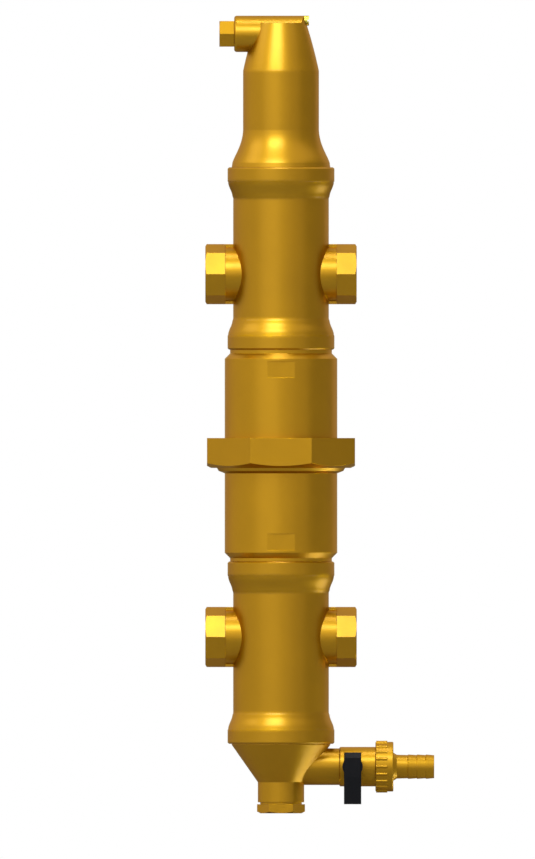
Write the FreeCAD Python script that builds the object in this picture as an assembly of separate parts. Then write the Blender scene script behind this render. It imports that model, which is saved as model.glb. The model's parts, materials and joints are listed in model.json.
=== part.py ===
import FreeCAD, Part
import math
import os

# Hydraulic separator in brass with an air vent head, a dirt drain and four pipe ports.
# The main axis is +Z, and the front of the object faces -Y.
# The origin is the centre of the bottom plug's lower face.
# All sizes are in millimetres.

# Main column, read from the bottom up
plug_head_height = 5.1
plug_gasket_thickness = 1.1
neck_height = 11.3
drain_cone_angle = 35.0
drain_cone_band = 0.5
body_length = 102.4
lower_groove_height = 1.9
lower_sleeve_length = 47.6
union_cone_height = 1.3
union_collar_height = 1.7
union_nut_height = 16.8
upper_sleeve_length = 47.5
upper_groove_height = 2.1

# Bottom plug and drain cone
plug_flats = 23.3
plug_chamfer = 1.0
plug_chamfer_width = 2.0
plug_gasket_radius = 11.7
plug_thread_radius = 9.4
plug_thread_length = 10.0
neck_radius = 13.0
cone_base_radius = 27.7
cone_wall = 4.0

# Bodies: the two are the same casting, the upper one turned over
tube_radius = 26.85
tube_bore_radius = 23.8
lip_radius = 30.0
lip_height = 7.9
lip_chamfer = 0.8
flare_start_radius = 29.7
flare_start_rise = 0.3
flare_lip_pull = 2.8
flare_length = 8.3
flare_foot_pull = 3.0
flare_foot_lean = 0.3
flare_foot_radius = 27.3
foot_length = 1.2
socket_radius = 25.0
spigot_length = 12.0
spigot_bore_radius = 21.5
port_from_inner_end = 42.4

# Pipe ports, with an internal pipe thread
port_reach = 42.5
port_octagon_length = 11.2
port_flats = 31.2
port_chamfer = 0.8
port_chamfer_width = 1.3
port_neck_radius = 15.3
port_thread_radius = 13.2
port_thread_length = 16.0
port_passage_radius = 11.0
port_rib_width = 4.0

# Sleeves between the bodies and the union nut
sleeve_radius = 31.6
sleeve_bore_radius = 27.0
sleeve_chamfer = 3.0
groove_radius = 28.6
flat_width = 15.4
flat_height = 9.2
flat_from_groove = 4.4

# Union that holds the two halves together
nut_flats = 83.1
nut_chamfer_angle = 25.0
nut_chamfer = 5.8
nut_web = 3.6
union_thread_radius = 36.0
union_collar_start_radius = 35.0
union_flange_height = 3.0
union_seal_thickness = 1.0

# Air vent head
head_base_radius = 27.7
head_foot_radius = 27.35
head_foot_height = 2.5
head_flare_lower_radius = 26.2
head_flare_lower_height = 6.6
head_flare_upper_radius = 21.7
head_flare_upper_height = 12.2
head_flare_height = 20.9
head_radius = 21.3
head_shoulder_height = 54.1
head_flat_height = 81.0
head_flat_radius = 13.9
head_crown_bulge = 0.5
head_wall = 2.5
chamber_step_height = 4.2
head_ceiling = 65.6
barrel_height = 74.9
barrel_radius = 10.2
barrel_reach = 26.3
barrel_edge_radius = 1.5
vent_bore_radius = 6.0
vent_bore_length = 12.0
vent_passage_radius = 1.2
vent_plug_flats = 14.4
vent_plug_head = 8.3
vent_plug_chamfer = 0.7
vent_plug_chamfer_width = 1.2
vent_outlet_radius = 1.6
vent_seal_radius = 8.4
vent_seal_thickness = 1.0
bleed_screw_radius = 2.8
bleed_screw_reach = 15.7
bleed_screw_rise = 7.4
bleed_screw_seat = 12.3
bleed_slot_width = 0.8
bleed_slot_depth = 0.9
bleed_thread_radius = 1.6
bleed_thread_length = 5.3
bleed_bore_start = 4.0

# Float, its guide and the vent valve
float_radius = 16.5
float_length = 44.0
float_edge_radius = 3.0
float_travel = 3.0
float_stem_radius = 2.0
float_stem_length = 10.0
guide_height = 2.4
guide_thickness = 1.5
guide_bush_radius = 4.0
guide_bush_length = 5.0
guide_bush_rise = 0.6
guide_window_radius = 5.0
nozzle_flange_radius = 5.5
nozzle_flange_thickness = 2.0
nozzle_thread_radius = 3.4
nozzle_thread_length = 5.0
nozzle_tip_radius = 1.6
nozzle_tip_length = 2.0
nozzle_hole_radius = 0.75
pivot_offset = 6.0
pivot_drop = 6.5
lever_arm = 14.0
lever_width = 5.0
lever_thickness = 1.2
lever_slot_width = 2.2
lever_slot_length = 4.4
lever_slot_end = 1.5
lever_hub_radius = 1.7
pivot_radius = 0.8
ear_thickness = 1.0
ear_width = 4.0
pad_radius = 2.2
rod_radius = 0.8
rod_depth = 3.6
rod_collar_radius = 1.7
rod_collar_gap = 1.5
rod_collar_thickness = 0.8

# Separator elements: a copper core tube with a wound copper strip
core_tube_radius = 8.0
core_tube_wall = 1.0
core_hole_radius = 2.5
core_hole_rows = 4
coil_radius = 19.5
coil_strip = 0.8
coil_pitch = 12.0
coil_end_gap = 2.6
star_thickness = 1.5
star_window_radius = 5.2
star_window_centre = 15.6
star_windows = 6

# Drain branch and ball valve
branch_height = 26.2
branch_radius = 10.28
branch_reach = 32.8
branch_socket_radius = 7.5
branch_socket_depth = 9.6
branch_passage_radius = 5.0
valve_radius = 11.1
valve_end = 53.0
valve_chamfer = 0.5
valve_thread_radius = 10.48
valve_thread_length = 5.2
valve_bore_radius = 4.0
valve_cavity_radius = 8.0
ball_offset = 40.2
ball_radius = 6.0
ball_seat_inner = 3.1
ball_seat_outer = 5.7
retainer_length = 8.0
retainer_socket_flats = 9.0
retainer_socket_depth = 3.0
stem_radius = 2.6
stem_flange_thickness = 0.8
stem_tongue_width = 2.0
stem_tongue_depth = 1.4
stem_seal_radius = 4.1
stem_seal_thickness = 1.5
stem_seal_cover = 1.2
stem_square = 4.0
stem_square_length = 5.0
boss_radius = 5.4
boss_reach = 13.6

# Lever handle of the drain valve
handle_gap = 0.4
handle_width = 9.7
handle_top = 8.0
handle_drop = 21.1
handle_hub_radius = 5.7
handle_hub_length = 7.4
handle_arm_thickness = 4.6
handle_crank = 2.2
handle_bevel_height = 4.9
handle_lip = 1.8
handle_edge_radius = 0.8

# Hose union
hose_nut_radius = 14.55
hose_nut_length = 6.7
hose_nut_ribs = 20
hose_rib_radius = 0.9
hose_nut_chamfer = 0.4
hose_nut_ring_radius = 13.95
hose_nut_ring_length = 3.4
hose_nut_web = 2.1
hose_gasket_thickness = 1.2
tail_shoulder_radius = 7.9
tail_shoulder_length = 1.9
tail_radius = 6.55
tail_bore_radius = 4.4
tail_end = 86.0
barb_height = 0.3
barb_pitch = 5.0
barb_face = 0.6
tail_taper = 0.15
tail_end_taper = 0.1
barbs = 3

# Clearances
screw_gap = 0.1
running_gap = 0.05
body_gap = 0.3

# Heights that follow from the sizes above
drain_cone_height = (cone_base_radius - neck_radius) / math.tan(math.radians(drain_cone_angle))
cone_bottom = plug_head_height + plug_gasket_thickness + neck_height
lower_body_bottom = cone_bottom + drain_cone_height + drain_cone_band
lower_body_top = lower_body_bottom + body_length
lower_sleeve_bottom = lower_body_top + lower_groove_height
lower_sleeve_top = lower_sleeve_bottom + lower_sleeve_length
nut_bottom = lower_sleeve_top + union_cone_height + union_collar_height
nut_top = nut_bottom + union_nut_height
upper_sleeve_top = nut_top + upper_sleeve_length
upper_body_bottom = upper_sleeve_top + upper_groove_height
upper_body_top = upper_body_bottom + body_length
spigot_radius = socket_radius - screw_gap
socket_depth = spigot_length + star_thickness
flange_top = nut_top - nut_web
flange_bottom = flange_top - union_flange_height
lower_sleeve_head = flange_bottom - union_seal_thickness
stem_flange_radius = ball_seat_inner - running_gap
stem_seal_top = boss_reach - stem_seal_cover
barrel_axis = upper_body_top + barrel_height
bleed_axis = barrel_axis + bleed_screw_rise
nozzle_drop = nozzle_flange_thickness + nozzle_tip_length
bush_top = upper_body_top + guide_height + guide_bush_rise
float_bottom = bush_top + body_gap
float_top = float_bottom + float_length
pivot_height = upper_body_top + head_ceiling - pivot_drop
lever_angle = math.degrees(float_travel / lever_arm)
pad_thickness = pivot_drop - lever_thickness / 2 - nozzle_drop - body_gap


def vector(x, y, z):
    return FreeCAD.Vector(x, y, z)


def round_axis(radius, turn):
    """A level offset of a radius from the main axis, in the direction of an angle."""
    return vector(radius * math.cos(turn), radius * math.sin(turn), 0)


class Outline:
    """A closed outline in the XZ plane, drawn step by step as radius and height."""

    def __init__(self, radius, height):
        self.first = vector(radius, 0, height)
        self.here = self.first
        self.edges = []

    def to(self, radius, height):
        point = vector(radius, 0, height)
        if point.distanceToPoint(self.here) > 1e-6:
            self.edges.append(Part.makeLine(self.here, point))
            self.here = point
        return self

    def arc(self, middle_radius, middle_height, radius, height):
        point = vector(radius, 0, height)
        middle = vector(middle_radius, 0, middle_height)
        self.edges.append(Part.Arc(self.here, middle, point).toShape())
        self.here = point
        return self

    def curve(self, *poles):
        points = [self.here] + [vector(radius, 0, height) for radius, height in poles]
        bezier = Part.BezierCurve()
        bezier.setPoles(points)
        self.edges.append(bezier.toShape())
        self.here = points[-1]
        return self

    def turned(self):
        self.to(self.first.x, self.first.z)
        face = Part.Face(Part.Wire(self.edges))
        return face.revolve(vector(0, 0, 0), vector(0, 0, 1), 360)


def rod(radius, bottom, top):
    return Part.makeCylinder(radius, top - bottom, vector(0, 0, bottom))


def ring(outer, inner, bottom, top):
    return rod(outer, bottom, top).cut(rod(inner, bottom - 1, top + 1))


def block(x, y, z):
    """A box from pairs of limits along each axis."""
    size = [pair[1] - pair[0] for pair in (x, y, z)]
    return Part.makeBox(size[0], size[1], size[2], vector(x[0], y[0], z[0]))


def prism(sides, flats, bottom, top, turn):
    """A regular prism on the Z axis, with one corner at the angle turn."""
    corner = flats / 2 / math.cos(math.pi / sides)
    angles = [math.radians(turn + 360.0 * n / sides) for n in range(sides)]
    points = [vector(corner * math.cos(a), corner * math.sin(a), bottom) for a in angles]
    base = Part.Face(Part.makePolygon(points + points[:1]))
    return base.extrude(vector(0, 0, top - bottom))


def along_x(shape, height, offset=0.0):
    """Lay a piece that was drawn on the Z axis along +X at the given height."""
    laid = shape.copy()
    laid.rotate(vector(0, 0, 0), vector(0, 1, 0), 90)
    laid.translate(vector(offset, 0, height))
    return laid


def towards_front(shape, x, height):
    """Lay a piece that was drawn on the Z axis so that it points to the front."""
    laid = shape.copy()
    laid.rotate(vector(0, 0, 0), vector(1, 0, 0), 90)
    laid.translate(vector(x, 0, height))
    return laid


def joined(first, *others):
    whole = first
    for other in others:
        whole = whole.fuse(other)
    return whole.removeSplitter()


def bottom_plug():
    """Hexagonal screw plug with a chamfered head."""
    head = prism(6, plug_flats, 0, plug_head_height, 0)
    corner = plug_flats / 2 / math.cos(math.pi / 6)
    chamfered = Outline(0, 0)
    chamfered.to(corner - plug_chamfer_width, 0).to(corner, plug_chamfer)
    chamfered.to(corner, plug_head_height).to(0, plug_head_height)
    shank = rod(plug_thread_radius, plug_head_height, plug_head_height + plug_thread_length)
    return joined(head.common(chamfered.turned()), shank)


def plug_gasket():
    inner = plug_thread_radius + screw_gap
    return ring(plug_gasket_radius, inner, plug_head_height, plug_head_height + plug_gasket_thickness)


def drain_cone():
    """Conical bottom that collects the dirt, with its neck, spigot and side branch."""
    slope = math.tan(math.radians(drain_cone_angle))
    neck_bottom = plug_head_height + plug_gasket_thickness
    spigot_top = lower_body_bottom + spigot_length
    outside = Outline(0, neck_bottom)
    outside.to(neck_radius, neck_bottom).to(neck_radius, cone_bottom)
    outside.to(cone_base_radius, cone_bottom + drain_cone_height).to(cone_base_radius, lower_body_bottom)
    outside.to(spigot_radius, lower_body_bottom).to(spigot_radius, spigot_top).to(0, spigot_top)
    funnel_bore = plug_thread_radius + screw_gap
    funnel_top = lower_body_bottom - cone_wall
    funnel_bottom = funnel_top - (spigot_bore_radius - funnel_bore) / slope
    inside = Outline(0, neck_bottom - 1)
    inside.to(funnel_bore, neck_bottom - 1).to(funnel_bore, funnel_bottom)
    inside.to(spigot_bore_radius, funnel_top).to(spigot_bore_radius, spigot_top + 1).to(0, spigot_top + 1)
    branch = along_x(rod(branch_radius, 0, branch_reach), branch_height)
    socket_bottom = branch_reach - branch_socket_depth
    socket = along_x(rod(branch_socket_radius, socket_bottom, branch_reach + 1), branch_height)
    passage = along_x(rod(branch_passage_radius, 0, branch_reach), branch_height)
    whole = joined(outside.turned(), branch)
    return whole.cut(inside.turned()).cut(socket).cut(passage)


def separator_body():
    """Cast body with two ports, drawn with its outer end at height zero."""
    start = lip_height + flare_start_rise
    foot = lip_height + flare_length
    flare = [
        (flare_start_radius, start),
        (flare_start_radius, start + flare_lip_pull),
        (flare_foot_radius + flare_foot_lean, foot - flare_foot_pull),
        (flare_foot_radius, foot),
    ]
    mirrored = [(radius, body_length - height) for radius, height in reversed(flare)]
    outside = Outline(0, 0)
    outside.to(lip_radius - lip_chamfer, 0).to(lip_radius, lip_chamfer).to(lip_radius, lip_height)
    outside.to(*flare[0]).curve(*flare[1:])
    outside.to(tube_radius, foot + foot_length).to(tube_radius, body_length - foot - foot_length)
    outside.to(*mirrored[0]).curve(*mirrored[1:])
    outside.to(lip_radius, body_length - lip_height)
    outside.to(lip_radius, body_length - lip_chamfer).to(lip_radius - lip_chamfer, body_length)
    outside.to(0, body_length)
    bore = joined(
        rod(socket_radius, -1, socket_depth),
        rod(tube_bore_radius, 0, body_length),
        rod(socket_radius, body_length - socket_depth, body_length + 1),
    )
    port_height = body_length - port_from_inner_end
    whole = outside.turned()
    for side in (1, -1):
        port = port_casting()
        port.rotate(vector(0, 0, 0), vector(0, 0, 1), 0 if side == 1 else 180)
        port.translate(vector(0, 0, port_height))
        whole = whole.fuse(port)
    whole = whole.removeSplitter().cut(bore)
    passage = rod(port_passage_radius, -port_reach, port_reach)
    thread = rod(port_thread_radius, port_reach - port_thread_length, port_reach + 1)
    for side in (1, -1):
        tapped = thread if side == 1 else thread.mirror(vector(0, 0, 0), vector(0, 0, 1))
        whole = whole.cut(along_x(tapped, port_height))
    return whole.cut(along_x(passage, port_height))


def port_casting():
    """One port's octagon, round neck and casting ribs, pointing along +X."""
    corner = port_flats / 2 / math.cos(math.pi / 8)
    octagon_start = port_reach - port_octagon_length
    octagon = prism(8, port_flats, octagon_start, port_reach, 0)
    chamfered = Outline(0, octagon_start)
    chamfered.to(corner, octagon_start).to(corner, port_reach - port_chamfer)
    chamfered.to(corner - port_chamfer_width, port_reach).to(0, port_reach)
    octagon = octagon.common(chamfered.turned())
    neck = rod(port_neck_radius, tube_bore_radius / 2, octagon_start)
    half = port_rib_width / 2
    rib = block((-corner, corner), (-half, half), (tube_bore_radius, octagon_start))
    rounded = rod(corner, tube_bore_radius, octagon_start)
    return along_x(joined(octagon, neck, rib.common(rounded)), 0)


def lower_body():
    body = separator_body()
    body.translate(vector(0, 0, lower_body_bottom))
    return body


def upper_body():
    body = separator_body()
    body.rotate(vector(0, 0, 0), vector(1, 0, 0), 180)
    body.translate(vector(0, 0, upper_body_top))
    return body


def wrench_flats(bottom):
    """Two milled rectangular flats, one at the front and one at the back."""
    depth = math.sqrt(sleeve_radius ** 2 - (flat_width / 2) ** 2)
    far = sleeve_radius + 1
    front = block((-far, far), (-far, -depth), (bottom, bottom + flat_height))
    back = block((-far, far), (depth, far), (bottom, bottom + flat_height))
    return front.fuse(back)


def lower_sleeve():
    """Sleeve that screws into the lower body and carries the union thread on its head."""
    spigot_bottom = lower_body_top - spigot_length
    step = sleeve_bore_radius - spigot_bore_radius
    outline = Outline(spigot_bore_radius, spigot_bottom)
    outline.to(spigot_radius, spigot_bottom).to(spigot_radius, lower_body_top)
    outline.to(groove_radius, lower_body_top).to(groove_radius, lower_sleeve_bottom)
    outline.to(sleeve_radius, lower_sleeve_bottom + sleeve_chamfer).to(sleeve_radius, lower_sleeve_top)
    outline.to(union_collar_start_radius, lower_sleeve_top + union_cone_height)
    outline.to(union_thread_radius, nut_bottom).to(union_thread_radius, lower_sleeve_head)
    outline.to(sleeve_bore_radius, lower_sleeve_head)
    outline.to(sleeve_bore_radius, lower_sleeve_bottom + step).to(spigot_bore_radius, lower_sleeve_bottom)
    return outline.turned().cut(wrench_flats(lower_sleeve_bottom + flat_from_groove))


def upper_sleeve():
    """Sleeve with a flange that the union nut pulls down, screwed into the upper body."""
    spigot_top = upper_body_bottom + spigot_length
    step = sleeve_bore_radius - spigot_bore_radius
    flange_radius = union_thread_radius - body_gap
    outline = Outline(sleeve_bore_radius, flange_bottom)
    outline.to(flange_radius, flange_bottom).to(flange_radius, flange_top)
    outline.to(sleeve_radius, flange_top).to(sleeve_radius, upper_sleeve_top - sleeve_chamfer)
    outline.to(groove_radius, upper_sleeve_top).to(groove_radius, upper_body_bottom)
    outline.to(spigot_radius, upper_body_bottom).to(spigot_radius, spigot_top)
    outline.to(spigot_bore_radius, spigot_top)
    outline.to(spigot_bore_radius, upper_sleeve_top).to(sleeve_bore_radius, upper_sleeve_top - step)
    return outline.turned().cut(wrench_flats(upper_sleeve_top - flat_from_groove - flat_height))


def union_nut():
    """Octagonal union nut with a wide chamfer on its lower side."""
    corner = nut_flats / 2 / math.cos(math.pi / 8)
    rise = nut_chamfer * math.tan(math.radians(nut_chamfer_angle))
    chamfered = Outline(0, nut_bottom)
    chamfered.to(corner - nut_chamfer, nut_bottom).to(corner, nut_bottom + rise)
    chamfered.to(corner, nut_top).to(0, nut_top)
    octagon = prism(8, nut_flats, nut_bottom, nut_top, 22.5).common(chamfered.turned())
    thread = rod(union_thread_radius + screw_gap, nut_bottom - 1, flange_top)
    web_hole = rod(sleeve_radius + screw_gap, nut_bottom, nut_top + 1)
    return octagon.cut(thread).cut(web_hole)


def union_seal():
    outer = union_thread_radius - body_gap
    return ring(outer, sleeve_bore_radius, lower_sleeve_head, flange_bottom)


def star_plate(bottom):
    """Sheet metal plate that centres a core tube, with a ring of round windows."""
    plate = ring(spigot_radius, core_tube_radius + running_gap, bottom, bottom + star_thickness)
    for n in range(star_windows):
        turn = math.radians(360.0 * n / star_windows)
        window = rod(star_window_radius, bottom - 1, bottom + star_thickness + 1)
        window.translate(round_axis(star_window_centre, turn))
        plate = plate.cut(window)
    return plate


def core_tube(bottom, top):
    """Copper tube with pairs of cross holes."""
    tube = ring(core_tube_radius, core_tube_radius - core_tube_wall, bottom, top)
    spacing = (top - bottom) / (core_hole_rows + 1)
    for row in range(core_hole_rows):
        hole = along_x(rod(core_hole_radius, -2 * core_tube_radius, 2 * core_tube_radius), 0)
        hole.rotate(vector(0, 0, 0), vector(0, 0, 1), 90 * (row % 2))
        hole.translate(vector(0, 0, bottom + spacing * (row + 1)))
        tube = tube.cut(hole)
    return tube


def strip_coil(bottom, top):
    """Copper strip wound on edge round the core tube as a helix."""
    inner = core_tube_radius + screw_gap
    height = top - bottom - coil_strip
    path = Part.makeHelix(coil_pitch, height, inner)
    corners = [(inner, 0), (coil_radius, 0), (coil_radius, coil_strip), (inner, coil_strip)]
    points = [vector(radius, 0, z) for radius, z in corners]
    profile = Part.makePolygon(points + points[:1])
    coil = Part.Wire(path).makePipeShell([profile], True, True)
    coil.translate(vector(0, 0, bottom))
    return coil


def element_pieces(name, bottom, top):
    """Core tube, strip coil and both end plates of one separator element."""
    coil_bottom = bottom + star_thickness + coil_end_gap
    coil_top = top - star_thickness - coil_end_gap
    return {
        name + "_core_tube": core_tube(bottom, top),
        name + "_coil": strip_coil(coil_bottom, coil_top),
        name + "_bottom_plate": star_plate(bottom),
        name + "_top_plate": star_plate(top - star_thickness),
    }


def crown_line(outline):
    """Continue an outline from the head's shoulder over the slightly bulging crown."""
    shoulder = upper_body_top + head_shoulder_height
    flat = upper_body_top + head_flat_height
    run = head_flat_radius - head_radius
    rise = flat - shoulder
    stretch = (barrel_height + barrel_radius + body_gap - head_shoulder_height) / rise
    length = math.hypot(run, rise)
    middle_radius = head_radius + run * stretch / 2 + head_crown_bulge * rise / length
    middle_height = shoulder + rise * stretch / 2 - head_crown_bulge * run / length
    end_height = shoulder + rise * stretch
    outline.arc(middle_radius, middle_height, head_radius + run * stretch, end_height)
    return outline.to(0, end_height)


def vent_head():
    """Hood of the air chamber, with the vent barrel across its top."""
    base = upper_body_top
    spigot_bottom = base - spigot_length
    shoulder = base + head_shoulder_height
    flat = base + head_flat_height
    ceiling = base + head_ceiling
    flare_top = base + head_flare_height
    outside = Outline(0, spigot_bottom)
    outside.to(spigot_radius, spigot_bottom).to(spigot_radius, base).to(head_base_radius, base)
    outside.to(head_foot_radius, base + head_foot_height)
    outside.curve(
        (head_flare_lower_radius, base + head_flare_lower_height),
        (head_flare_upper_radius, base + head_flare_upper_height),
        (head_radius, flare_top),
    )
    outside.to(head_radius, shoulder)
    crowned = crown_line(outside).turned()
    far = head_base_radius + barrel_reach
    above = block((-far, far), (-far, far), (flat, flat + far))
    edge = barrel_edge_radius
    bend = edge * (1 - math.sqrt(0.5))
    barrel = Outline(0, -barrel_reach)
    barrel.to(barrel_radius - edge, -barrel_reach)
    barrel.arc(barrel_radius - bend, bend - barrel_reach, barrel_radius, edge - barrel_reach)
    barrel.to(barrel_radius, head_radius).to(0, head_radius)
    laid = along_x(barrel.turned(), barrel_axis)
    left = block((-far, 0), (-far, far), (base, base + 2 * far))
    whole = joined(crowned.cut(above), laid.common(left), laid.common(crowned))
    chamber = Outline(0, spigot_bottom - 1)
    guide_seat = base + guide_height
    wall_radius = head_radius - head_wall
    chamber.to(spigot_bore_radius, spigot_bottom - 1).to(spigot_bore_radius, guide_seat)
    chamber.to(spigot_bore_radius - 1, guide_seat).to(spigot_bore_radius - 1, base + chamber_step_height)
    chamber.to(wall_radius, flare_top - head_wall).to(wall_radius, shoulder)
    slope = (head_radius - head_flat_radius) / (head_flat_height - head_shoulder_height)
    chamber.to(wall_radius - slope * (ceiling - shoulder), ceiling).to(0, ceiling)
    whole = whole.cut(chamber.turned())
    return whole.cut(vent_drillings(ceiling))


def vent_drillings(ceiling):
    """Threaded vent bore, the seal's counterbore, the passages and the bleed drilling."""
    seal_seat = vent_seal_thickness - barrel_reach
    bore = rod(vent_bore_radius, -barrel_reach - 1, vent_bore_length - barrel_reach)
    seat = rod(vent_seal_radius + screw_gap, -barrel_reach - 1, seal_seat)
    passage = rod(vent_passage_radius, vent_bore_length - barrel_reach - 1, bleed_bore_start)
    laid = along_x(joined(bore, seat, passage), barrel_axis)
    nozzle = rod(nozzle_thread_radius + screw_gap, ceiling - 1, ceiling + nozzle_thread_length)
    rise = rod(vent_passage_radius, ceiling, barrel_axis)
    bleed = along_x(rod(bleed_thread_radius, bleed_bore_start, head_radius), bleed_axis)
    cross = rod(vent_passage_radius, barrel_axis, bleed_axis)
    cross.translate(vector(bleed_bore_start + vent_passage_radius, 0, 0))
    link = along_x(rod(vent_passage_radius, 0, bleed_bore_start + 2 * vent_passage_radius), barrel_axis)
    spot = along_x(rod(bleed_screw_radius + screw_gap, bleed_screw_seat, head_radius), bleed_axis)
    return joined(laid, nozzle, rise, bleed, cross, link, spot)


def vent_plug():
    """Hexagonal vent screw with the outlet drilled through it."""
    head = prism(6, vent_plug_flats, -barrel_reach - vent_plug_head, -barrel_reach, 90)
    corner = vent_plug_flats / 2 / math.cos(math.pi / 6)
    outer_end = -barrel_reach - vent_plug_head
    chamfered = Outline(0, outer_end)
    chamfered.to(corner - vent_plug_chamfer_width, outer_end).to(corner, outer_end + vent_plug_chamfer)
    chamfered.to(corner, -barrel_reach).to(0, -barrel_reach)
    shank = rod(vent_bore_radius - screw_gap, -barrel_reach, vent_bore_length - barrel_reach - 1)
    drilled = joined(head.common(chamfered.turned()), shank)
    drilled = drilled.cut(rod(vent_outlet_radius, outer_end - 1, vent_bore_length - barrel_reach))
    return along_x(drilled, barrel_axis)


def vent_plug_seal():
    seal = ring(vent_seal_radius, vent_bore_radius, -barrel_reach, vent_seal_thickness - barrel_reach)
    return along_x(seal, barrel_axis)


def bleed_screw():
    """Small slotted screw that closes the bleed drilling."""
    head = rod(bleed_screw_radius, bleed_screw_seat, bleed_screw_reach)
    shank = rod(bleed_thread_radius - screw_gap, bleed_screw_seat - bleed_thread_length, bleed_screw_seat)
    half = bleed_slot_width / 2
    across = (-bleed_screw_radius, bleed_screw_radius)
    slot = block((-half, half), across, (bleed_screw_reach - bleed_slot_depth, bleed_screw_reach + 1))
    return along_x(joined(head, shank).cut(slot), bleed_axis)


def float_guide():
    """Spoked plate under the float, with the bush that guides the float's stem."""
    top = upper_body_top + guide_height
    hole_radius = float_stem_radius + running_gap
    plate_radius = spigot_bore_radius - screw_gap
    plate = ring(plate_radius, hole_radius, top - guide_thickness, top)
    centre = (plate_radius + guide_bush_radius) / 2
    for n in range(star_windows):
        turn = math.radians(360.0 * n / star_windows)
        hole = rod(guide_window_radius, top - guide_thickness - 1, top + 1)
        hole.translate(round_axis(centre, turn))
        plate = plate.cut(hole)
    bush = ring(guide_bush_radius, hole_radius, bush_top - guide_bush_length, bush_top)
    return joined(plate, bush)


def vent_float():
    """Closed float with its guide stem and the socket of its rod."""
    edge = float_edge_radius
    bend = edge * (1 - math.sqrt(0.5))
    skin = Outline(0, float_bottom)
    skin.to(float_radius - edge, float_bottom)
    skin.arc(float_radius - bend, float_bottom + bend, float_radius, float_bottom + edge)
    skin.to(float_radius, float_top - edge)
    skin.arc(float_radius - bend, float_top - bend, float_radius - edge, float_top)
    skin.to(0, float_top)
    stem = rod(float_stem_radius, float_bottom - float_stem_length, float_bottom)
    socket = rod(rod_radius, float_top - rod_depth, float_top + 1)
    socket.translate(vector(rod_offset(), 0, 0))
    return joined(skin.turned(), stem).cut(socket)


def rod_offset():
    """Sideways place of the float rod, where the lever's end is at rest."""
    return lever_arm * math.cos(math.radians(lever_angle / 2)) - pivot_offset


def float_rod():
    """Wire from the float to the lever, with a collar on each side of the lever."""
    upper = pivot_height - float_travel + rod_collar_gap
    lower = pivot_height - float_travel - rod_collar_gap
    wire = rod(rod_radius, float_top - rod_depth, upper + rod_collar_thickness)
    below = rod(rod_collar_radius, lower - rod_collar_thickness, lower)
    above = rod(rod_collar_radius, upper, upper + rod_collar_thickness)
    whole = joined(wire, below, above)
    whole.translate(vector(rod_offset(), 0, 0))
    return whole


def nozzle_bracket():
    """Screwed-in vent nozzle with two ears that hold the lever's pin."""
    ceiling = upper_body_top + head_ceiling
    flange_bottom_height = ceiling - nozzle_flange_thickness
    flange = rod(nozzle_flange_radius, flange_bottom_height, ceiling)
    thread = rod(nozzle_thread_radius, ceiling, ceiling + nozzle_thread_length)
    tip = rod(nozzle_tip_radius, flange_bottom_height - nozzle_tip_length, flange_bottom_height)
    whole = joined(flange, thread, tip)
    inner = lever_width / 2 + body_gap
    half = ear_width / 2
    for side in (1, -1):
        low, high = sorted((side * inner, side * (inner + ear_thickness)))
        ear = block((-pivot_offset - half, -pivot_offset + half), (low, high), (pivot_height, ceiling))
        whole = whole.fuse(ear).fuse(pivot_cylinder(half, low, high))
    hole = rod(nozzle_hole_radius, ceiling - 2 * nozzle_drop, ceiling + 2 * nozzle_thread_length)
    pin_hole = pivot_cylinder(pivot_radius, -lever_width, lever_width)
    return whole.removeSplitter().cut(hole).cut(pin_hole)


def pivot_cylinder(radius, low, high):
    """A cylinder on the lever's pivot, between two places across the object."""
    start = vector(-pivot_offset, low, pivot_height)
    return Part.makeCylinder(radius, high - low, start, vector(0, 1, 0))


def lever_pin():
    reach = lever_width / 2 + body_gap + ear_thickness
    return pivot_cylinder(pivot_radius, -reach, reach)


def tilted(shape):
    """Turn a piece drawn with the lever level down to where the float rests."""
    drooped = shape.copy()
    drooped.rotate(vector(-pivot_offset, 0, pivot_height), vector(0, 1, 0), lever_angle)
    return drooped


def vent_lever():
    """Stamped lever with a hub at the pin and a slot for the float rod."""
    across = (-lever_width / 2, lever_width / 2)
    low = pivot_height - lever_thickness / 2
    high = pivot_height + lever_thickness / 2
    middle = lever_arm - pivot_offset
    reach = lever_slot_length / 2
    strip = block((-pivot_offset, middle + reach + lever_slot_end), across, (low, high))
    hub = pivot_cylinder(lever_hub_radius, across[0], across[1])
    pin_hole = pivot_cylinder(pivot_radius + running_gap, -lever_width, lever_width)
    slot_sides = (-lever_slot_width / 2, lever_slot_width / 2)
    slot = block((middle - reach, middle + reach), slot_sides, (low - 1, high + 1))
    return tilted(joined(strip, hub).cut(pin_hole).cut(slot))


def valve_pad():
    """Rubber disc on the lever that closes the nozzle."""
    bottom = pivot_height + lever_thickness / 2
    return tilted(rod(pad_radius, bottom, bottom + pad_thickness))


def drain_valve_body():
    """Turned valve body with a spigot, a stem boss and the hose thread."""
    thread_end = valve_end + valve_thread_length
    spigot_start = branch_reach - branch_socket_depth + body_gap
    spigot = branch_socket_radius - screw_gap
    outline = Outline(0, spigot_start)
    outline.to(spigot, spigot_start).to(spigot, branch_reach).to(valve_radius - valve_chamfer, branch_reach)
    outline.to(valve_radius, branch_reach + valve_chamfer).to(valve_radius, valve_end)
    outline.to(valve_thread_radius, valve_end).to(valve_thread_radius, thread_end).to(0, thread_end)
    boss = towards_front(rod(boss_radius, 0, boss_reach), ball_offset, branch_height)
    whole = joined(along_x(outline.turned(), branch_height), boss)
    cavity = rod(valve_cavity_radius, ball_offset - ball_seat_outer, thread_end + 1)
    bore = rod(valve_bore_radius, spigot_start - 1, thread_end)
    whole = whole.cut(along_x(joined(cavity, bore), branch_height))
    stem_hole = rod(stem_radius + running_gap, 0, boss_reach + 1)
    seal_groove = rod(stem_seal_radius, stem_seal_top - stem_seal_thickness, stem_seal_top)
    return whole.cut(towards_front(joined(stem_hole, seal_groove), ball_offset, branch_height))


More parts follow.
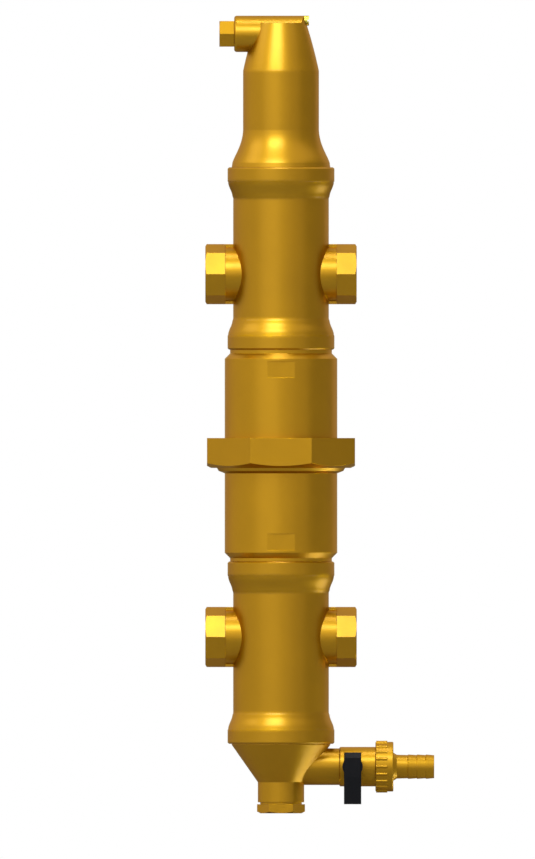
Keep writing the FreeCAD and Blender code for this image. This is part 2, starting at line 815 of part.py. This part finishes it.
def stem_seal():
    outer = stem_seal_radius - running_gap
    inner = stem_radius + running_gap
    seal = ring(outer, inner, stem_seal_top - stem_seal_thickness, stem_seal_top)
    return towards_front(seal, ball_offset, branch_height)


def ball_seat(side):
    """Plastic ring that the ball rests against, on one side of the ball."""
    low, high = sorted((side * ball_seat_inner, side * ball_seat_outer))
    seat = ring(valve_cavity_radius - running_gap, valve_bore_radius, low, high)
    seat = seat.cut(Part.makeSphere(ball_radius + running_gap))
    return along_x(seat, branch_height, ball_offset)


def drain_ball():
    """Ball with its bore across the pipe, as the valve is closed, and the stem's slot."""
    ball = Part.makeSphere(ball_radius)
    bore = rod(valve_bore_radius, -ball_radius, ball_radius)
    half_slot = stem_tongue_width / 2 + running_gap
    slot_floor = ball_radius - stem_tongue_depth - running_gap
    slot = block((-half_slot, half_slot), (-ball_radius, -slot_floor), (-ball_radius, ball_radius))
    whole = ball.cut(bore).cut(slot)
    whole.translate(vector(ball_offset, 0, branch_height))
    return whole


def ball_retainer():
    """Screwed ring that holds the seats and the ball, with a hexagonal socket."""
    start = ball_offset + ball_seat_outer
    end = start + retainer_length
    body = ring(valve_cavity_radius - screw_gap, valve_bore_radius, start, end)
    socket = prism(6, retainer_socket_flats, end - retainer_socket_depth, end + 1, 90)
    return along_x(body.cut(socket), branch_height)


def valve_stem():
    """Stem with a tongue in the ball, an inner flange and a square end for the handle."""
    flange_start = ball_radius + running_gap
    end = boss_reach + handle_gap + stem_square_length
    flange = rod(stem_flange_radius, flange_start, flange_start + stem_flange_thickness)
    shaft = rod(stem_radius, flange_start, boss_reach + handle_gap)
    half = stem_square / 2
    square = block((-half, half), (-half, half), (boss_reach, end))
    square = square.common(rod(stem_radius, boss_reach, end))
    width = (-stem_tongue_width / 2, stem_tongue_width / 2)
    depth = (ball_radius - stem_tongue_depth, flange_start)
    tongue = block(width, (-stem_radius, stem_radius), depth)
    return towards_front(joined(flange, shaft, square, tongue), ball_offset, branch_height)


def handle():
    """Cranked lever: a round hub on the stem and a flat arm that clears the hose nut."""
    back = boss_reach + handle_gap
    arm_back = back + handle_crank
    front = back + handle_hub_length
    arm_front = arm_back + handle_arm_thickness
    profile = [
        (arm_back, -handle_drop),
        (arm_front, -handle_drop),
        (front, -handle_hub_radius),
        (front, handle_bevel_height),
        (arm_back + handle_lip, handle_top),
        (arm_back, handle_top),
    ]
    half = handle_width / 2
    points = [vector(-half, -depth, height) for depth, height in profile]
    arm = Part.Face(Part.makePolygon(points + points[:1])).extrude(vector(handle_width, 0, 0))
    arm.translate(vector(ball_offset, 0, branch_height))
    rims = [edge for edge in arm.Edges if edge.BoundBox.XLength < running_gap]
    arm = arm.makeFillet(handle_edge_radius, [edge for edge in rims if edge.BoundBox.YMax < -arm_back - 1])
    hub = rod(handle_hub_radius, back, front - handle_edge_radius)
    hub = towards_front(hub, ball_offset, branch_height)
    half_socket = stem_square / 2 + running_gap
    sides = (-half_socket, half_socket)
    socket_end = back + stem_square_length + running_gap
    socket = block(sides, sides, (back - 1, socket_end))
    socket = socket.common(rod(stem_radius + running_gap, back - 1, socket_end))
    return joined(arm, hub).cut(towards_front(socket, ball_offset, branch_height))


def hose_nut():
    """Union nut of the hose tail, with half-round grip ribs round its rim."""
    ribs_end = valve_end + hose_nut_length
    end = ribs_end + hose_nut_ring_length
    edge = hose_nut_chamfer
    outline = Outline(0, valve_end)
    outline.to(hose_nut_ring_radius - edge, valve_end).to(hose_nut_ring_radius, valve_end + edge)
    outline.to(hose_nut_ring_radius, end - edge)
    outline.to(hose_nut_ring_radius - edge, end).to(0, end)
    rib = rod(hose_rib_radius, valve_end + edge, ribs_end)
    ribs = []
    for n in range(hose_nut_ribs):
        turn = math.radians(360.0 * n / hose_nut_ribs)
        placed = rib.copy()
        placed.translate(round_axis(hose_nut_radius - hose_rib_radius, turn))
        ribs.append(placed)
    whole = joined(outline.turned(), *ribs)
    thread = rod(valve_thread_radius + screw_gap, valve_end - 1, end - hose_nut_web)
    hole = rod(tail_shoulder_radius + screw_gap, valve_end, end + 1)
    return along_x(whole.cut(thread).cut(hole), branch_height)


def hose_gasket():
    start = valve_end + valve_thread_length
    gasket = ring(valve_thread_radius - screw_gap, tail_bore_radius, start, start + hose_gasket_thickness)
    return along_x(gasket, branch_height)


def hose_tail():
    """Barbed hose tail with the flange that the union nut holds."""
    nut_end = valve_end + hose_nut_length + hose_nut_ring_length
    flange_end = nut_end - hose_nut_web
    flange_start = valve_end + valve_thread_length + hose_gasket_thickness
    flange = valve_thread_radius - screw_gap
    outline = Outline(tail_bore_radius, flange_start)
    outline.to(flange, flange_start).to(flange, flange_end).to(tail_shoulder_radius, flange_end)
    outline.to(tail_shoulder_radius, nut_end).to(tail_radius + tail_taper, nut_end + tail_shoulder_length)
    first_barb = tail_end - barbs * barb_pitch
    outline.to(tail_radius, first_barb)
    for n in range(barbs):
        start = first_barb + n * barb_pitch
        outline.to(tail_radius + barb_height, start + barb_face)
        outline.to(tail_radius - (tail_end_taper if n == barbs - 1 else 0), start + barb_pitch)
    outline.to(tail_bore_radius, tail_end)
    return along_x(outline.turned(), branch_height)


def pieces():
    """Every node of the object with its solid."""
    found = {
        "bottom_plug": bottom_plug(),
        "plug_gasket": plug_gasket(),
        "drain_cone": drain_cone(),
        "lower_body": lower_body(),
        "lower_sleeve": lower_sleeve(),
        "union_nut": union_nut(),
        "union_seal": union_seal(),
        "upper_sleeve": upper_sleeve(),
        "upper_body": upper_body(),
        "vent_head": vent_head(),
        "vent_plug": vent_plug(),
        "vent_plug_seal": vent_plug_seal(),
        "bleed_screw": bleed_screw(),
        "float_guide": float_guide(),
        "vent_float": vent_float(),
        "float_rod": float_rod(),
        "nozzle_bracket": nozzle_bracket(),
        "lever_pin": lever_pin(),
        "vent_lever": vent_lever(),
        "valve_pad": valve_pad(),
        "drain_valve_body": drain_valve_body(),
        "stem_seal": stem_seal(),
        "inlet_ball_seat": ball_seat(-1),
        "outlet_ball_seat": ball_seat(1),
        "drain_ball": drain_ball(),
        "ball_retainer": ball_retainer(),
        "valve_stem": valve_stem(),
        "handle": handle(),
        "hose_nut": hose_nut(),
        "hose_gasket": hose_gasket(),
        "hose_tail": hose_tail(),
    }
    for name, low in (("lower_element", lower_body_bottom), ("upper_element", upper_body_bottom)):
        found.update(element_pieces(name, low + spigot_length, low + body_length - spigot_length))
    return found


os.makedirs("parts", exist_ok=True)
for node, solid in pieces().items():
    solid.exportStep("parts/" + node + ".step")
    print(node, len(solid.Solids), round(solid.Volume, 1), solid.isValid())
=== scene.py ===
import bpy
import json
import math
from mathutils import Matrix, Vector


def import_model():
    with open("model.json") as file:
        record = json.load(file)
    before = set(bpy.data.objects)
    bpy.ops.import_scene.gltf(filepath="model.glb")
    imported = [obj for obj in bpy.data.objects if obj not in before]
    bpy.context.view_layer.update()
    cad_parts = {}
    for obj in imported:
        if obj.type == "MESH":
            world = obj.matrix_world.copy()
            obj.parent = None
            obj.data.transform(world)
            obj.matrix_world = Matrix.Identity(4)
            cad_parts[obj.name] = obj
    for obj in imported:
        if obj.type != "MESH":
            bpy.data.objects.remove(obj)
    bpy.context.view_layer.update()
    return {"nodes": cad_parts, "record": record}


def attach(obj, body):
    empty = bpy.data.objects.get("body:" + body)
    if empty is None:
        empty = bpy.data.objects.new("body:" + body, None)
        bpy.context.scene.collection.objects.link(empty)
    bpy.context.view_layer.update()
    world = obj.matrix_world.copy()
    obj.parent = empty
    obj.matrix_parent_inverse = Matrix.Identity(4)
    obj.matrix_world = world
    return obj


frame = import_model()
nodes = frame["nodes"]

MM = 0.001

# The photograph's frame, seen square from the front without perspective. In its pixels, the object's axis
# is column AXIS_X and the floor is row FLOOR_Y
PHOTO_WIDTH = 535
PHOTO_HEIGHT = 859
PIXEL = 0.5614 * MM
AXIS_X = 281.0
FLOOR_Y = 813.33
CAMERA_DISTANCE = 2.0

# Pipe thread of the ports: three quarter inch, 14 threads to the inch
THREAD_PITCH = 25.4 / 14 * MM
THREAD_ROOT = 13.25 * MM
THREAD_CREST = 12.1 * MM
THREAD_START = 41.5 * MM
THREAD_END = 27.6 * MM
STEPS_PER_TURN = 72

# The thread's ridge: half its width at the foot and at the top in pitches, the share of its height that
# its ends gain in a turn, and the least share
RIDGE_FOOT = 0.46
RIDGE_TOP = 0.09
RIDGE_GAIN = 1.2
RIDGE_LEAST = 0.02

# Lamps: name, direction from the target, width and height, watts, colour, and whether they cast shadows.
# The top lamp casts none, since none falls under the cone in the photo. The rim lamp shines from below on
# the right, and the floor doesn't stop it
DAYLIGHT = (0.93, 1.0, 1.10)
LAMPS = (
    ("key", (-0.23, -0.74, 0.64), (0.95, 0.5), 10.5, (0.91, 1.07, 1.30), True),
    ("fill", (-0.45, -0.88, 0.23), (1.4, 0.98), 1.6, DAYLIGHT, True),
    ("top", (-0.05, -0.12, 0.99), (0.5, 0.5), 3.5, DAYLIGHT, False),
    ("side", (-0.77, -0.12, 0.62), (0.9, 0.6), 2.2, DAYLIGHT, True),
    ("rim", (0.70, 0.34, -0.62), (0.9, 1.3), 10.8, (0.60, 0.72, 1.0), False),
)
LAMP_TARGET = Vector((0.0, 0.0, 0.22))
LAMP_DISTANCE = 1.6

# Grey cards, which darken the object's right side as in a product studio: name, place, width and height,
# the direction they face, and how bright they are
CARDS = (
    ("right_card", (1.1, 0.1, 0.3), (1.6, 1.6), (1, 0, 0), 0.40),
    ("front_right_card", (0.85, -0.95, 0.3), (0.7, 1.6), (0.6, -0.8, 0), 0.65),
)

# The studio: the world's strength to the camera and in reflections, its strength as light, and the floor
WORLD_SEEN = 1.0
WORLD_LIGHT = 0.6
FLOOR_WIDTH = 12.0
FLOOR_TONE = 0.48

# Brass and copper: linear colour, roughness, strength of the grain and of the turning marks, the axis that
# those marks go round, and whether the edges are soft where the casting is blended
TURNED_BRASS = (0.53, 0.261, 0.001)
BRASSES = {
    "cast_brass": ((0.50, 0.246, 0.001), 0.38, 0.25, 0.15, "z", True),
    "turned_brass": (TURNED_BRASS, 0.34, 0.10, 0.5, "z", False),
    "turned_brass_lying": (TURNED_BRASS, 0.38, 0.08, 0.2, "x", False),
    "copper": ((0.72, 0.32, 0.16), 0.28, 0.10, 0.3, "z", False),
    "polished_brass": ((0.64, 0.53, 0.06), 0.30, 0.05, 0.3, "x", False),
}

# The other materials: linear colour, roughness, metallic and specular level
PLAIN = {
    "black_rubber": ((0.02, 0.02, 0.02), 0.6, 0.0, 0.5),
    "fibre": ((0.13, 0.07, 0.02), 0.7, 0.0, 0.5),
    "black_plastic": ((0.004, 0.004, 0.005), 0.34, 0.0, 0.15),
    "white_plastic": ((0.80, 0.79, 0.74), 0.5, 0.0, 0.5),
    "steel": ((0.55, 0.55, 0.56), 0.3, 1.0, 0.5),
}

# The CAD nodes that each material goes on
ELEMENT_PARTS = ("core_tube", "coil", "bottom_plate", "top_plate")
PIECES = {
    "cast_brass": ("upper_body", "lower_body", "drain_cone", "vent_head"),
    "turned_brass": ("upper_sleeve", "lower_sleeve", "union_nut", "bottom_plug", "plug_gasket",
                     "float_guide", "nozzle_bracket"),
    "turned_brass_lying": ("vent_plug", "drain_valve_body", "hose_nut", "hose_tail", "ball_retainer",
                           "valve_stem"),
    "copper": [half + "_element_" + part for half in ("upper", "lower") for part in ELEMENT_PARTS],
    "polished_brass": ("bleed_screw",),
    "black_rubber": ("union_seal", "vent_plug_seal", "stem_seal", "valve_pad"),
    "fibre": ("hose_gasket",),
    "black_plastic": ("handle",),
    "white_plastic": ("vent_float", "inlet_ball_seat", "outlet_ball_seat"),
    "steel": ("vent_lever", "lever_pin", "float_rod", "drain_ball"),
}

# Tint of brass and copper at grazing angles, and the thin clear coat that makes their highlights paler
EDGE_TINT = (0.55, 0.42, 0.10)
COAT_WEIGHT = 0.13
COAT_IOR = 2.0
COAT_ROUGHNESS = 0.27

# Scale and detail of each noise. The turning marks are stretched: fine along their axis, long round it
BRASS_BLOTCHES = (38, 3)
BRASS_PATCHES = (90, 4)
BRASS_GRAIN = (900, 3)
PLAIN_PATCHES = (120, 3)
PLAIN_GRAIN = (1500, 3)
MARKS = (1.0, 2)
MARKS_ALONG = 900.0
MARKS_ROUND = 2.0

# The middle range that a noise mostly keeps to, the share of the colour that the darker places keep, and
# how far the roughness goes up and down
NOISE_LOW = 0.3
NOISE_HIGH = 0.7
BRASS_SHADE = 0.93
BRASS_GLOSS = 0.035
PLAIN_SHADE = 0.85
PLAIN_GLOSS = 0.04

# Depths of the turning marks and of the grain, and the strength of the grain on plain materials
MARKS_DEPTH = 0.02 * MM
GRAIN_DEPTH = 0.05 * MM
PLAIN_GRAIN_STRENGTH = 0.15

# Shading rounds the edges by the first radius, and by the second one where the castings are blended
EDGE_RADIUS = 0.3 * MM
BLEND_RADIUS = 2.5 * MM
EDGE_SAMPLES = 4
BLEND_SAMPLES = 8

# Reach of those blends: a body's flare, from the body's end, and the head's shoulder, from the head's foot
FLARE_FROM = 6.0 * MM
FLARE_TO = 20.5 * MM
SHOULDER_FROM = 63.0 * MM
SHOULDER_TO = 69.5 * MM


def new_material(name):
    """A new material with its node tree and its Principled shader."""
    material = bpy.data.materials.new(name)
    material.use_nodes = True
    tree = material.node_tree
    return material, tree, tree.nodes["Principled BSDF"]


def add(tree, kind, **values):
    """A new node with these values in its properties, or in its inputs where it has no such property."""
    node = tree.nodes.new(kind)
    for key, value in values.items():
        if hasattr(node, key):
            setattr(node, key, value)
        else:
            node.inputs[key.replace("_", " ")].default_value = value
    return node


def larger(tree, one, other):
    node = add(tree, "ShaderNodeMath", operation="MAXIMUM")
    tree.links.new(one, node.inputs[0])
    tree.links.new(other, node.inputs[1])
    return node.outputs["Value"]


def noise(tree, scale_and_detail, stretch=(1, 1, 1)):
    """Noise over the object's own coordinates, stretched along the axes."""
    scale, detail = scale_and_detail
    place = add(tree, "ShaderNodeTexCoord")
    mapping = add(tree, "ShaderNodeMapping", Scale=stretch)
    tree.links.new(place.outputs["Object"], mapping.inputs["Vector"])
    texture = add(tree, "ShaderNodeTexNoise", Scale=scale, Detail=detail)
    tree.links.new(mapping.outputs["Vector"], texture.inputs["Vector"])
    return texture.outputs["Fac"]


def spread(tree, source, low, high):
    """Map a noise's middle range to values from low to high."""
    remap = add(tree, "ShaderNodeMapRange", From_Min=NOISE_LOW, From_Max=NOISE_HIGH,
                To_Min=low, To_Max=high)
    tree.links.new(source, remap.inputs["Value"])
    return remap.outputs["Result"]


def mottle(tree, shader, source, colour, shade):
    """Vary the shader's colour between the colour and a darker shade of it."""
    tint = add(tree, "ShaderNodeMix", data_type="RGBA")
    tint.inputs["A"].default_value = (*[channel * shade for channel in colour], 1)
    tint.inputs["B"].default_value = (*colour, 1)
    tree.links.new(spread(tree, source, 0, 1), tint.inputs["Factor"])
    tree.links.new(tint.outputs["Result"], shader.inputs["Base Color"])


def vary_gloss(tree, shader, source, roughness, reach):
    """Vary the shader's roughness by this reach up and down."""
    gloss = spread(tree, source, roughness - reach, roughness + reach)
    tree.links.new(gloss, shader.inputs["Roughness"])


def bump(tree, source, strength, depth, under=None):
    """The normal of a bumpy surface, on top of another normal where there is one."""
    node = add(tree, "ShaderNodeBump", Strength=strength, Distance=depth)
    tree.links.new(source, node.inputs["Height"])
    if under is not None:
        tree.links.new(under, node.inputs["Normal"])
    return node.outputs["Normal"]


def blend_heights():
    """Lowest and highest point of each blend, measured from the castings' boxes."""
    bands = []
    for name in ("lower_body", "upper_body"):
        heights = [corner[2] for corner in nodes[name].bound_box]
        bands.append((min(heights) + FLARE_FROM, min(heights) + FLARE_TO))
        bands.append((max(heights) - FLARE_TO, max(heights) - FLARE_FROM))
    foot = min(corner[2] for corner in nodes["vent_head"].bound_box)
    bands.append((foot + SHOULDER_FROM, foot + SHOULDER_TO))
    return bands


def blended(tree):
    """One at the heights where the castings are blended softly, and zero elsewhere."""
    place = add(tree, "ShaderNodeTexCoord")
    parts = add(tree, "ShaderNodeSeparateXYZ")
    tree.links.new(place.outputs["Object"], parts.inputs["Vector"])
    total = None
    for low, high in blend_heights():
        band = add(tree, "ShaderNodeMath", operation="COMPARE")
        tree.links.new(parts.outputs["Z"], band.inputs[0])
        band.inputs[1].default_value = (low + high) / 2
        band.inputs[2].default_value = (high - low) / 2
        inside = band.outputs["Value"]
        total = inside if total is None else larger(tree, total, inside)
    return total


def rounded(tree, soft):
    """A normal that rounds the edges, and the castings' blends more than the rest where soft is true."""
    samples = BLEND_SAMPLES if soft else EDGE_SAMPLES
    edges = add(tree, "ShaderNodeBevel", samples=samples, Radius=EDGE_RADIUS)
    if soft:
        radius = add(tree, "ShaderNodeMapRange", To_Min=EDGE_RADIUS, To_Max=BLEND_RADIUS)
        tree.links.new(blended(tree), radius.inputs["Value"])
        tree.links.new(radius.outputs["Result"], edges.inputs["Radius"])
    return edges.outputs["Normal"]


def brass(name, colour, roughness, grain, marks, axis, soft):
    """Brass or copper with a faint grain, turning marks round one axis and a little unevenness."""
    material, tree, shader = new_material(name)
    shader.inputs["Metallic"].default_value = 1.0
    shader.inputs["Specular Tint"].default_value = (*EDGE_TINT, 1)
    shader.inputs["Coat Weight"].default_value = COAT_WEIGHT
    shader.inputs["Coat IOR"].default_value = COAT_IOR
    shader.inputs["Coat Roughness"].default_value = COAT_ROUGHNESS
    mottle(tree, shader, noise(tree, BRASS_BLOTCHES), colour, BRASS_SHADE)
    vary_gloss(tree, shader, noise(tree, BRASS_PATCHES), roughness, BRASS_GLOSS)
    stretch = [MARKS_ALONG if letter == axis else MARKS_ROUND for letter in "xyz"]
    marked = bump(tree, noise(tree, MARKS, stretch), marks, MARKS_DEPTH, rounded(tree, soft))
    grained = bump(tree, noise(tree, BRASS_GRAIN), grain, GRAIN_DEPTH, marked)
    tree.links.new(grained, shader.inputs["Normal"])
    return material


def plain(name, colour, roughness, metallic, gloss_level):
    """Plastic, rubber, fibre or steel with a fine surface grain."""
    material, tree, shader = new_material(name)
    shader.inputs["Specular IOR Level"].default_value = gloss_level
    shader.inputs["Metallic"].default_value = metallic
    patches = noise(tree, PLAIN_PATCHES)
    mottle(tree, shader, patches, colour, PLAIN_SHADE)
    vary_gloss(tree, shader, patches, roughness, PLAIN_GLOSS)
    grained = bump(tree, noise(tree, PLAIN_GRAIN), PLAIN_GRAIN_STRENGTH, GRAIN_DEPTH)
    tree.links.new(grained, shader.inputs["Normal"])
    return material


def dress_all():
    """Give the CAD nodes their materials in place of the plain ones that they came with."""
    for name, pieces in PIECES.items():
        material = brass(name, *BRASSES[name]) if name in BRASSES else plain(name, *PLAIN[name])
        for piece in pieces:
            mesh = nodes[piece].data
            mesh.materials.clear()
            mesh.materials.append(material)


def thread_mesh(name, side, height):
    """Helical ridge of a port's internal thread, fading out at both ends."""
    turns = (THREAD_START - THREAD_END) / THREAD_PITCH
    count = int(turns * STEPS_PER_TURN)
    points = []
    for n in range(count + 1):
        turn = 2 * math.pi * n / STEPS_PER_TURN
        along = THREAD_START - THREAD_PITCH * n / STEPS_PER_TURN
        fade = min(1, min(n, count - n) / STEPS_PER_TURN * RIDGE_GAIN)
        crest = THREAD_ROOT - (THREAD_ROOT - THREAD_CREST) * max(fade, RIDGE_LEAST)
        profile = ((THREAD_ROOT, RIDGE_FOOT), (crest, RIDGE_TOP),
                   (crest, -RIDGE_TOP), (THREAD_ROOT, -RIDGE_FOOT))
        for radius, offset in profile:
            x = side * (along + offset * THREAD_PITCH)
            points.append((x, radius * math.cos(turn), height + side * radius * math.sin(turn)))
    faces = []
    for n in range(count):
        a, b = 4 * n, 4 * (n + 1)
        for k in range(4):
            faces.append((a + k, a + (k + 1) % 4, b + (k + 1) % 4, b + k))
    faces.append((3, 2, 1, 0))
    faces.append(tuple(4 * count + k for k in range(4)))
    mesh = bpy.data.meshes.new(name)
    mesh.from_pydata(points, [], faces)
    mesh.validate()
    return mesh


def threads(material):
    """The thread ridges in the four ports."""
    for name in ("upper", "lower"):
        mount = next(m for m in frame["record"]["mounts"] if m["name"] == "port_" + name + "_right")
        for label, side in (("right", 1), ("left", -1)):
            mesh = thread_mesh(name + "_" + label + "_thread", side, mount["pos_m"][2])
            mesh.materials.append(material)
            ridge = bpy.data.objects.new(mesh.name, mesh)
            bpy.context.scene.collection.objects.link(ridge)
            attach(ridge, "housing")


def facing(direction):
    """The rotation that turns an object's Z axis to this direction."""
    return Vector(direction).to_track_quat("Z", "Y").to_euler()


def lamp(name, direction, size, watts, colour, shadow):
    """Area lamp that shines at the target from this direction. Without shadow, nothing stops it."""
    data = bpy.data.lights.new(name, "AREA")
    data.shape = "RECTANGLE"
    data.size, data.size_y = size
    data.energy = watts
    data.color = colour
    data.use_shadow = shadow
    data.cycles.use_multiple_importance_sampling = shadow
    light = bpy.data.objects.new(name, data)
    towards = Vector(direction).normalized()
    light.location = LAMP_TARGET + towards * LAMP_DISTANCE
    light.rotation_euler = facing(towards)
    light.visible_camera = False
    bpy.context.scene.collection.objects.link(light)


def matte(name, tone, glow=0.0):
    """A grey without any gloss, which can also glow white."""
    material, _, shader = new_material(name)
    shader.inputs["Base Color"].default_value = (tone, tone, tone, 1)
    shader.inputs["Roughness"].default_value = 1.0
    shader.inputs["Specular IOR Level"].default_value = 0.0
    shader.inputs["Emission Color"].default_value = (1, 1, 1, 1)
    shader.inputs["Emission Strength"].default_value = glow
    return material


def rectangle(name, width, height, material):
    """A flat piece about the origin, facing up."""
    x, y = width / 2, height / 2
    mesh = bpy.data.meshes.new(name)
    mesh.from_pydata([(-x, -y, 0), (x, -y, 0), (x, y, 0), (-x, y, 0)], [], [(0, 1, 2, 3)])
    mesh.materials.append(material)
    piece = bpy.data.objects.new(name, mesh)
    bpy.context.scene.collection.objects.link(piece)
    return piece


def card(name, place, size, direction, level):
    """Dim grey panel that metal reflects and the camera doesn't see."""
    panel = rectangle(name, *size, matte(name, 0.0, level))
    panel.location = place
    panel.rotation_euler = facing(direction)
    panel.visible_camera = False
    panel.visible_shadow = False


def world():
    """Pale studio: white to the camera and in reflections, softer as light."""
    backdrop = bpy.data.worlds.new("studio")
    bpy.context.scene.world = backdrop
    backdrop.use_nodes = True
    tree = backdrop.node_tree
    tree.nodes.clear()
    out = add(tree, "ShaderNodeOutputWorld")
    seen = add(tree, "ShaderNodeBackground", Color=(1, 1, 1, 1), Strength=WORLD_SEEN)
    lit = add(tree, "ShaderNodeBackground", Color=(1, 1, 1, 1), Strength=WORLD_LIGHT)
    path = add(tree, "ShaderNodeLightPath")
    shown = path.outputs["Is Camera Ray"]
    for ray in ("Is Glossy Ray", "Is Transmission Ray"):
        shown = larger(tree, shown, path.outputs[ray])
    mix = add(tree, "ShaderNodeMixShader")
    tree.links.new(shown, mix.inputs["Fac"])
    tree.links.new(lit.outputs["Background"], mix.inputs[1])
    tree.links.new(seen.outputs["Background"], mix.inputs[2])
    tree.links.new(mix.outputs["Shader"], out.inputs["Surface"])


def floor():
    """Pale floor under the object."""
    ground = rectangle("floor", FLOOR_WIDTH, FLOOR_WIDTH, matte("pale_floor", FLOOR_TONE))


def camera():
    """Level camera in front of the object, whose frame is the photograph's."""
    data = bpy.data.cameras.new("camera")
    data.type = "ORTHO"
    data.ortho_scale = PHOTO_HEIGHT * PIXEL
    view = bpy.data.objects.new("camera", data)
    across = (PHOTO_WIDTH / 2 - AXIS_X) * PIXEL
    up = (FLOOR_Y - PHOTO_HEIGHT / 2) * PIXEL
    view.location = (across, -CAMERA_DISTANCE, up)
    view.rotation_euler = (math.radians(90), 0, 0)
    bpy.context.scene.collection.objects.link(view)
    bpy.context.scene.camera = view


dress_all()
threads(nodes["upper_body"].data.materials[0])
for row in LAMPS:
    lamp(*row)
for row in CARDS:
    card(*row)
world()
floor()
camera()
bpy.context.scene.view_settings.view_transform = "Standard"
